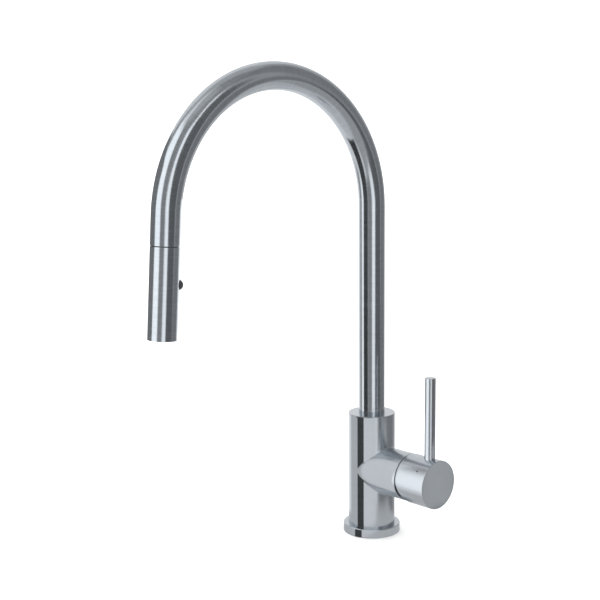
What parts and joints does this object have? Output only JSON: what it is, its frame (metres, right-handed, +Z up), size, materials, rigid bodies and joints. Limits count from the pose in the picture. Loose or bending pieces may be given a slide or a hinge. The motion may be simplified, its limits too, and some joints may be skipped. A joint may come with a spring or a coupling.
{
  "type": "kitchen mixer faucet",
  "caption": "Single-lever kitchen faucet in brushed steel: round body, side handle, high arched swivel spout and a pull-out spray head with a button.",
  "frame": {"origin": "centre of the base flange's underside, on the deck face", "axes": "+Z up along the body and riser; the spout reaches towards -Y and the handle's branch points along +X"},
  "size_m": [0.113, 0.2876, 0.5175],
  "materials": {
    "brushed_steel": "fine satin brushing round the turned parts, along the tube's circumference",
    "brass": "machined, as turned",
    "steel": "plain turned or zinc-plated steel",
    "rubber": "matte black elastomer",
    "white_plastic": "moulded acetal",
    "dark_plastic": "moulded dark grey plastic",
    "ceramic": null,
    "hose_braid": "grey nylon braid over the hose"
  },
  "bodies": {
    "base": {"base_flange": "brushed_steel", "flange_seal": "rubber", "valve_body": "brushed_steel", "threaded_shank": "brass", "stop_screw": "steel", "top_glide_ring": "white_plastic", "hose_foot": "brass", "spray_hose_lower": "hose_braid", "cartridge_base": "white_plastic", "cartridge_seals": "rubber", "cartridge_housing": "white_plastic", "ceramic_disc_fixed": "ceramic", "cartridge_nut": "brass", "dome_ring": "brushed_steel"},
    "deck_clamp": {"rubber_washer": "rubber", "steel_washer": "steel", "shank_nut": "brass", "jack_screws": "steel"},
    "spout": {"spout_tube": "brushed_steel", "spout_nipple": "brass", "glide_ring_lower": "white_plastic", "glide_ring_upper": "white_plastic", "dock_bush": "dark_plastic", "spray_hose_upper": "hose_braid"},
    "hose_end": {"hose_tail": "hose_braid", "hose_ferrule": "steel", "hose_cone": "brass"},
    "spray_head": {"coupling_nut": "brass", "head_washer": "rubber", "head_nose": "dark_plastic", "head_shell": "brushed_steel", "head_core": "dark_plastic", "check_valve_body": "white_plastic", "check_valve_spring": "steel", "diverter_spring": "steel", "nozzle_plate": "dark_plastic", "nozzle_tips": "rubber", "outlet_ring": "dark_plastic", "aerator_housing": "dark_plastic", "aerator_mesh": "steel"},
    "check_poppet": {"check_valve_poppet": "white_plastic"},
    "diverter": {"spray_button": "dark_plastic", "diverter_spool": "white_plastic", "spool_seals": "rubber"},
    "mixer": {"cartridge_rotor": "white_plastic", "stem_pivot_pin": "steel"},
    "lever": {"cartridge_stem": "steel", "handle_cap": "brushed_steel", "handle_lever": "brushed_steel", "handle_clamp_screw": "steel", "index_plug": "dark_plastic"},
    "disc_slide": {"ceramic_disc_moving": "ceramic", "disc_carrier": "white_plastic"}
  },
  "joints": [
    {"name": "clamp_travel", "type": "slide", "parent": "base", "child": "deck_clamp", "axis": [0, 0, 1], "range_m": [-0.042, 0.022]},
    {"name": "spout_swivel", "type": "hinge", "parent": "base", "child": "spout", "pos_m": [0, 0, 0.1], "axis": [0, 0, 1], "range_deg": [-75, 75]},
    {"name": "head_pull", "type": "slide", "parent": "spout", "child": "hose_end", "axis": [0, -0.0698, -0.9976], "range_m": [0, 0.2]},
    {"name": "head_turn", "type": "hinge", "parent": "hose_end", "child": "spray_head", "pos_m": [0, -0.24224, 0.30226], "axis": [0, 0.0698, 0.9976], "continuous": true},
    {"name": "button_press", "type": "slide", "parent": "spray_head", "child": "diverter", "axis": [-0.4226, -0.9041, 0.0632], "range_m": [0, 0.002], "stiffness_N_per_m": 900, "springref_m": -0.002, "deforming": ["diverter_spring"]},
    {"name": "check_lift", "type": "slide", "parent": "spray_head", "child": "check_poppet", "axis": [0, -0.0698, -0.9976], "range_m": [0, 0.002], "stiffness_N_per_m": 120, "springref_m": -0.001, "deforming": ["check_valve_spring"]},
    {"name": "temperature", "type": "hinge", "parent": "base", "child": "mixer", "pos_m": [0.046, 0, 0.0646], "axis": [1, 0, 0], "range_deg": [-45, 45]},
    {"name": "flow_tilt", "type": "hinge", "parent": "mixer", "child": "lever", "pos_m": [0.046, 0, 0.0646], "axis": [0, 1, 0], "range_deg": [0, 18]},
    {"name": "disc_travel", "type": "slide", "parent": "mixer", "child": "disc_slide", "axis": [0, 0, 1], "range_m": [0, 0.0045]}
  ],
  "couplings": [
    {"joint": "disc_travel", "follows": "flow_tilt", "m_per_rad": 0.014}
  ]
}
